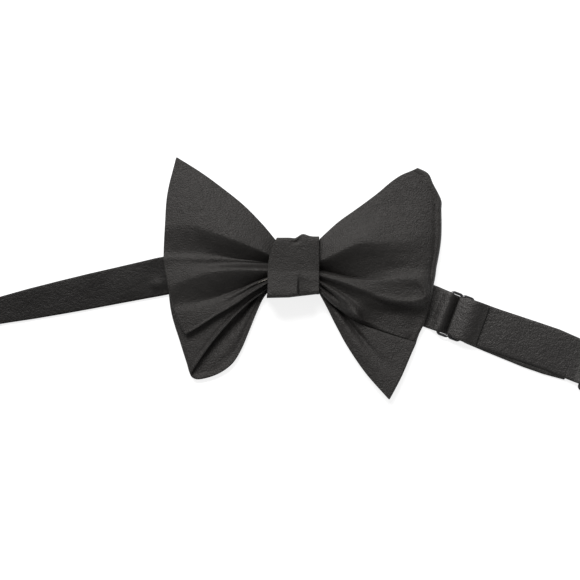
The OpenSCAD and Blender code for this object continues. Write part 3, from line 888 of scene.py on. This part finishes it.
@dataclass
class Stitches:
    """A row of stitches, each a plump grain of thread.

    length and radius are one stitch's, in millimetres, and turn its direction in degrees.
    """

    node: str
    places: Sequence[Point]
    length: float
    turn: float
    radius: float = 0.22

    def build(self, finishes: Finishes, body: str) -> None:
        """Builds the row.

        Args:
            finishes: the finishes.
            body: the body it moves with.
        """
        bm = bmesh.new()
        for place in self.places:
            made = bmesh.ops.create_uvsphere(bm, u_segments=12, v_segments=8, radius=1.0)["verts"]
            a = math.radians(self.turn)
            for vert in made:
                x, y, z = vert.co
                swell = self.radius * (1 + 0.12 * math.sin(9 * x + 4 * y))
                lx, ly, lz = x * self.length / 2, y * swell, z * swell
                vert.co = Vector((place[0] + lx * math.cos(a) - ly * math.sin(a),
                                  place[1] + lx * math.sin(a) + ly * math.cos(a), place[2] + lz)) * MM
        for face in bm.faces:
            face.smooth = True
        dress(new_piece(self.node + "_thread", bm, finishes.thread), body, self.node)
        LOG.info("stitches %s", self.node)


# ---------------------------------------------------------------- neckband

def blend(a: float, b: float, t: float) -> float:
    """Returns: the value that eases from a to b as t goes from 0 to 1."""
    c = min(1.0, max(0.0, t))
    return a + (b - a) * (1 - math.cos(math.pi * c)) / 2


def beside(path: np.ndarray, d: float) -> np.ndarray:
    """Returns: the path moved sideways by d."""
    t = np.gradient(path, axis=0)
    t = t / np.linalg.norm(t, axis=1)[:, None]
    return path + d * np.stack([-t[:, 1], t[:, 0]], axis=1)


def even(path: np.ndarray, step: float) -> np.ndarray:
    """Returns: the path with points an even step apart."""
    far = np.concatenate([[0], np.cumsum(np.linalg.norm(np.diff(path, axis=0), axis=1))])
    t = np.linspace(0, far[-1], max(3, round(far[-1] / step) + 1))
    return np.stack([np.interp(t, far, path[:, k]) for k in range(2)], axis=1)


def level(start: float, end: float, z: float) -> np.ndarray:
    """Returns: a level path between two places along."""
    return np.array([(start, z), (end, z)])


@dataclass(frozen=True)
class Strap:
    """A stretch of neckband: a path of (along, height), its two edges and how it moves.

    bodies are the one or two bodies it belongs to: it moves with a lone body and is left fixed
    between two. span is the places along where it leaves the first and reaches the second. crown
    is how far its edges drop, wave its waviness, step the spacing of its points, ragged the
    unevenness of its end and bulge the place of a small raised spot. All are in millimetres.
    """

    node: str
    axis: Axis
    path: np.ndarray
    edges: Callable[[float], tuple[float, float]]
    bodies: tuple[str, ...]
    span: tuple[float, float] = (0.0, 0.0)
    crown: float = 0.12
    wave: float = 0.07
    columns: int = 15
    step: float = 1.0
    ragged: float = 0.0
    bulge: Optional[tuple[float, float]] = None

    def point(self, x: float, y: float, z: float) -> Vector:
        """Returns: a point along the band, across it and up, in the tie's frame, in metres."""
        ox, oy, turn = self.axis.value
        c, s = math.cos(math.radians(turn)), math.sin(math.radians(turn))
        return Vector((ox + x * c - y * s, oy + x * s + y * c, z)) * MM

    def raised(self, x: float, y: float) -> float:
        """Returns: the raised spot's height at a place along and across, in millimetres."""
        if self.bulge is None:
            return 0.0
        return 0.7 * math.exp(-((x - self.bulge[0]) ** 2 + (y - self.bulge[1]) ** 2) / 7)

    def surface(self, path: np.ndarray) -> np.ndarray:
        """The strap's middle surface.

        Args:
            path: its path, evenly spaced.

        Returns:
            Rows of points, one row for each point of the path.
        """
        normal = beside(path, 1.0) - path
        across = np.linspace(-1, 1, self.columns)
        fray = np.random.default_rng(4).uniform(-1, 1, self.columns) * self.ragged
        p = np.zeros((len(path), self.columns, 3))
        for i, (x, z) in enumerate(path):
            low, high = self.edges(x)
            for j, part in enumerate(across):
                shift = normal[i] * -self.crown * part**4
                end = fray[j] if i == len(path) - 1 else 0.0
                y = low + (high - low) * (part + 1) / 2
                p[i, j] = self.point(x + shift[0] + end, y, z + shift[1] + self.raised(x, y))
        p[..., 2] += self.wave * MM * (1.2 + ripple(p, 0.019, 41))
        return p

    def build(self, finishes: Finishes) -> None:
        """Builds the stretch on its body, or, with two bodies, leaves it fixed where it lies."""
        path = even(self.path, self.step)
        far = np.linalg.norm(np.diff(path, axis=0), axis=1).sum() * MM
        wide = float(np.mean([self.edges(x)[1] - self.edges(x)[0] for x, _ in path])) * MM
        # The left band takes the darker copy of the band satin, which is painted shade for its weaker sheen.
        satin = finishes.left_strap if self.axis is Axis.LEFT else finishes.strap
        made = grid_mesh(self.node + "_cloth", self.surface(path), (wide, far), satin)
        thicken(made, STRAP_T * MM)
        if len(self.bodies) == 1:
            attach(made, self.bodies[0])
        else:
            start, end = (self.point(x, 0, RUN_Z) for x in self.span)
            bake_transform(made)
        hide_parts(self.node)
        LOG.info("strap %s, %.0f x %.0f mm", self.node, wide / MM, far / MM)


def table(*stops: tuple[float, float, float]) -> Callable[[float], tuple[float, float]]:
    """The edges of a band.

    Args:
        stops: each a place along, the lower edge and the upper edge there.

    Returns:
        A function that gives the two edges at any place along.
    """
    at, low, high = (np.array(row) for row in zip(*stops))
    return lambda x: (float(np.interp(x, at, low)), float(np.interp(x, at, high)))


LEFT = table((0, -7.2, 7.2), (12, -8.6, 8.6), (24, -9.4, 9.4), (56, -10.0, 9.4), (63, -9.8, 9.2),
             (76, -9.5, 8.9), (91, -9.2, 8.6), (106, -8.7, 8.2), (122, -8.0, 7.6), (134, -7.2, 6.9),
             (148, -6.2, 6.2), (200, -6.2, 6.2))
LOWER = table((0, -10.7, 11.2), (61, -10.6, 11.1), (67, -10.5, 10.7), (69, -10.3, 10.3), (77.5, -10.3, 10.3),
              (82.5, -11.1, 10.5), (93, -11.6, 10.1), (114, -12.3, 9.4), (125, -12.1, 9.6),
              (137, -11.0, 10.4), (150, -10.4, 10.4))
UPPER = table((72, -10.2, 10.2), (73.8, -10.2, 10.2), (75, -10.6, 10.8), (79, -10.9, 10.9),
              (82.5, -10.8, 11.0), (93, -10.5, 11.1), (114, -9.9, 11.8), (125, -9.7, 12.1),
              (137, -10.3, 11.4), (141, -10.4, 10.4), (150, -10.4, 10.4))


@dataclass(frozen=True)
class Neckband:
    """Both sides of the neckband, out to the eye and the hook.

    ply is the spacing of two layers; wire_r and bar_z the slider's wire and its bar's height;
    ring_z the height of the hook's and the eye's wire; turn_r the strap's middle line round a
    bar; slider_at, hook_at and left_length places along the bands, in millimetres.
    """

    ply: float = 0.85
    wire_r: float = 0.7
    bar_z: float = 2.4
    ring_z: float = 2.15
    turn_r: float = 1.15
    slider_at: float = 73.4
    hook_at: float = 144.0
    left_length: float = 186.0

    def weave_z(self, x: float) -> float:
        """Returns: the lower run's height at x from the slider's bar, which it passes over."""
        far, over = abs(x), self.bar_z + self.wire_r + 0.05 + STRAP_T / 2
        return blend(STRAP_T / 2, over, far / 6) if far < 6 else blend(over, RUN_Z, (far - 6) / 5.5)

    def turned(self, bar: float, reach: float, back: float) -> list[tuple[float, float]]:
        """The path of an end that turns round a bar and comes back over itself.

        Args:
            bar: the bar's place along the band.
            reach: how far back it takes to settle on the run below.
            back: how far back it ends.

        Returns:
            Its places along and heights.
        """
        angles = [math.radians(a) for a in range(-90, 91, 10)]
        arc = [(bar + self.turn_r * math.cos(a), self.ring_z + self.turn_r * math.sin(a)) for a in angles]
        top = self.ring_z + self.turn_r
        rest = [(bar - x, blend(top, RUN_Z + self.ply, x / reach)) for x in np.linspace(0.5, back, 24)]
        return arc + rest

    def left(self) -> Strap:
        """Returns: the left band, its end turned round the eye."""
        run = [(x, RUN_Z) for x in np.arange(2.0, self.left_length, 2.0)]
        path = np.array(run + self.turned(self.left_length, 7, 14))
        return Strap("left_band", Axis.LEFT, path, LEFT, ("bow", "left_strap"), (-1, 9), columns=19,
                     step=1.2, wave=0.16, bulge=(57.8, 3.2))

    def tab(self) -> np.ndarray:
        """Returns: the path of the sewn end: under the slider's bar, round it and back on top."""
        near = np.array([(x, self.weave_z(x)) for x in np.arange(0, 16.41, 0.4)])
        under = beside(near, self.ply)[::-1]
        angles = [math.radians(a) for a in range(-105, -271, -15)]
        arc = np.array([(self.turn_r * math.cos(a), self.bar_z + self.turn_r * math.sin(a)) for a in angles])
        crest = self.weave_z(6) + 2 * self.ply
        over = np.array([(0.6, self.bar_z + self.turn_r + 0.15), (3, crest - 0.6), (6, crest - 0.1),
                         (9, crest - 0.4), (12, crest - 1.3), (14.4, crest - 1.8)])
        return np.concatenate([under, arc, along(over, np.linspace(0, 1, 34))]) + [self.slider_at, 0]

    def right(self) -> list[Strap]:
        """Returns: the stretches of the right band."""
        at, hook, upper_z = Axis.RIGHT, self.hook_at, RUN_Z + self.ply
        weave = np.array([(x + self.slider_at, self.weave_z(x)) for x in np.arange(-12.4, 16.41, 0.4)])
        turn = [(hook - 8.4, RUN_Z), (hook - 4, RUN_Z), (hook - 1, RUN_Z)] + self.turned(hook, 4, 8.4)
        doubled = ("adjuster", "strap_end")
        return [
            Strap("right_band_root", at, level(0.4, 30.4, RUN_Z), LOWER, ("bow", "right_strap"),
                  (-2, 9), step=0.8),
            Strap("right_single_run", at, level(29.7, 61.7, RUN_Z), LOWER, ("right_strap", "adjuster"),
                  (32, 60), step=0.8),
            Strap("slider_weave", at, weave, LOWER, ("adjuster",), step=0.4),
            Strap("slider_tab", at, self.tab(), UPPER, ("adjuster",), step=0.4, ragged=0.22),
            Strap("right_under_run", at, level(89.1, 136.3, RUN_Z), LOWER, doubled, (78, 137)),
            Strap("right_upper_run", at, level(89.1, 136.3, upper_z), UPPER, doubled, (78, 137)),
            Strap("hook_turn", at, np.array(turn), UPPER, ("strap_end",), step=0.4),
        ]

    def centre(self, finishes: Finishes) -> None:
        """Builds the stretch of neckband inside the knot."""
        flat = (0.018, 0.026)
        left, right = Axis.LEFT.value, Axis.RIGHT.value
        t = np.linspace(0, 1, 28)
        mid = along(np.array([(-13, left[1]), (0, 3.2), (13, right[1])], float), t)
        half = 7.4 + (10.9 - 7.4) * t**2
        p = np.stack([np.stack([mid[:, 0], mid[:, 1] + half * y, np.full(len(t), RUN_Z)], axis=1)
                      for y in np.linspace(-1, 1, 13)], axis=1) * MM
        made = grid_mesh("band_centre_cloth", p, flat, finishes.strap)
        thicken(made, STRAP_T * MM)
        dress(made, "bow", "band_centre")

    def canvas(self, finishes: Finishes, band: Strap) -> None:
        """Builds the interlining inside the left band."""
        places = np.arange(14.0, self.left_length - 4, 2.0)
        p = np.array([[band.point(x, y * (LEFT(x)[1] - 1), RUN_Z) for y in np.linspace(-1, 1, 5)]
                      for x in places])
        made = grid_mesh("left_band_interlining_cloth", p, (0.015, 0.168), finishes.canvas)
        thicken(made, 0.2 * MM, levels=0)
        dress(made, "left_strap", "left_band_interlining")

    def stitches(self, node: str, body: str, band: Strap, x: float, layers: int, count: int,
                 spread: float, length: float, finishes: Finishes) -> None:
        """Builds a row of stitches across a sewn end.

        Args:
            node: the node they stand for.
            body: the body they move with.
            band: the band they are sewn across.
            x: their place along it.
            layers: layers of strap under the top one.
            count: how many stitches.
            spread: the row's width.
            length: one stitch's length.
            finishes: the finishes.
        """
        z = RUN_Z + layers * self.ply + STRAP_T / 2 + 0.08
        middle = (count - 1) / 2
        places = [tuple(band.point(x, (k - middle) * spread / count, z) / MM) for k in range(count)]
        Stitches(node, places, length, (90 + band.axis.value[2]) % 180).build(finishes, body)

    def build(self, finishes: Finishes) -> None:
        """Builds the whole neckband."""
        left, right = self.left(), self.right()
        for strap in [left] + right:
            strap.build(finishes)
        self.centre(finishes)
        self.canvas(finishes, left)
        self.stitches("tab_stitches", "adjuster", right[0], self.slider_at + 12.8, 2, 8, 17, 1.5, finishes)
        self.stitches("left_end_stitches", "left_strap", left, self.left_length - 12, 1, 6, 11, 1.3, finishes)
        LOG.info("neckband")


@dataclass(frozen=True)
class Hardware:
    """The wire slider, hook and eye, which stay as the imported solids."""

    nodes: tuple[str, ...] = ("slider", "hook", "eye_ring")

    def build(self, finishes: Finishes) -> None:
        """Gives each its enamel."""
        for name in self.nodes:
            mesh = bpy.data.objects[name].data
            mesh.materials.clear()
            mesh.materials.append(finishes.enamel)
            for face in mesh.polygons:
                face.use_smooth = True
        LOG.info("hardware")


# ---------------------------------------------------------------- studio


@dataclass(frozen=True)
class Studio:
    """Pale floor, a soft light and the camera straight above the tie, in metres.

    centre is the middle of the view and view its width on a plane a little above the floor.
    """

    centre: tuple[float, float] = (-0.00175, -0.012)
    view: float = 0.290
    plane: float = 0.008
    lens_mm: float = 100.0
    sensor_mm: float = 36.0
    floor_half: float = 1.6
    floor_z: float = -0.0002
    sky: float = 0.28
    key_power: float = 39.0

    def floor(self, finishes: Finishes) -> None:
        """Builds the floor, just under the tie."""
        bm = bmesh.new()
        bmesh.ops.create_grid(bm, x_segments=4, y_segments=4, size=self.floor_half)
        bmesh.ops.translate(bm, verts=bm.verts, vec=(0, 0, self.floor_z))
        new_piece("floor", bm, finishes.paper)

    def light(self, name: str, place: Point, aim: Point, size: tuple[float, float], power: float) -> None:
        """Adds a soft rectangular light.

        Args:
            name: its name.
            place: where it stands.
            aim: the point it is turned towards.
            size: its two sides.
            power: its power, in watts.
        """
        data = bpy.data.lights.new(name, "AREA")
        data.shape = "RECTANGLE"
        data.size, data.size_y = size
        data.energy = power
        made = bpy.data.objects.new(name, data)
        made.location = place
        made.rotation_euler = (Vector(place) - Vector(aim)).to_track_quat("Z", "Y").to_euler()
        bpy.context.scene.collection.objects.link(made)

    def camera(self) -> None:
        """Adds the camera."""
        data = bpy.data.cameras.new("camera")
        data.lens = self.lens_mm
        data.sensor_width = self.sensor_mm
        camera = bpy.data.objects.new("camera", data)
        camera.location = (*self.centre, self.view * self.lens_mm / self.sensor_mm + self.plane)
        bpy.context.scene.collection.objects.link(camera)
        bpy.context.scene.camera = camera

    def build(self, finishes: Finishes) -> None:
        """Builds the studio."""
        self.floor(finishes)
        world = bpy.data.worlds.new("studio")
        world.use_nodes = True
        sky = world.node_tree.nodes["Background"].inputs
        sky["Color"].default_value = (1, 1, 1, 1)
        sky["Strength"].default_value = self.sky
        bpy.context.scene.world = world
        self.light("key", (-0.25, 1.1, 1.25), (0, 0, 0), (1.1, 0.7), self.key_power)
        self.camera()
        bpy.context.scene.view_settings.view_transform = "Standard"
        LOG.info("studio")


def main() -> None:
    """Builds the tie and the studio."""
    logging.basicConfig(level=logging.INFO, format="%(name)s: %(message)s")
    finishes = Finishes()
    left, right = LeftWing(), RightWing()
    for leaf in (left.loop(), left.blade(), right.blade(), right.loop()):
        leaf.build(finishes)
    Knot().build(finishes)
    Neckband().build(finishes)
    Hardware().build(finishes)
    Studio().build(finishes)


if __name__ == "__main__":
    main()
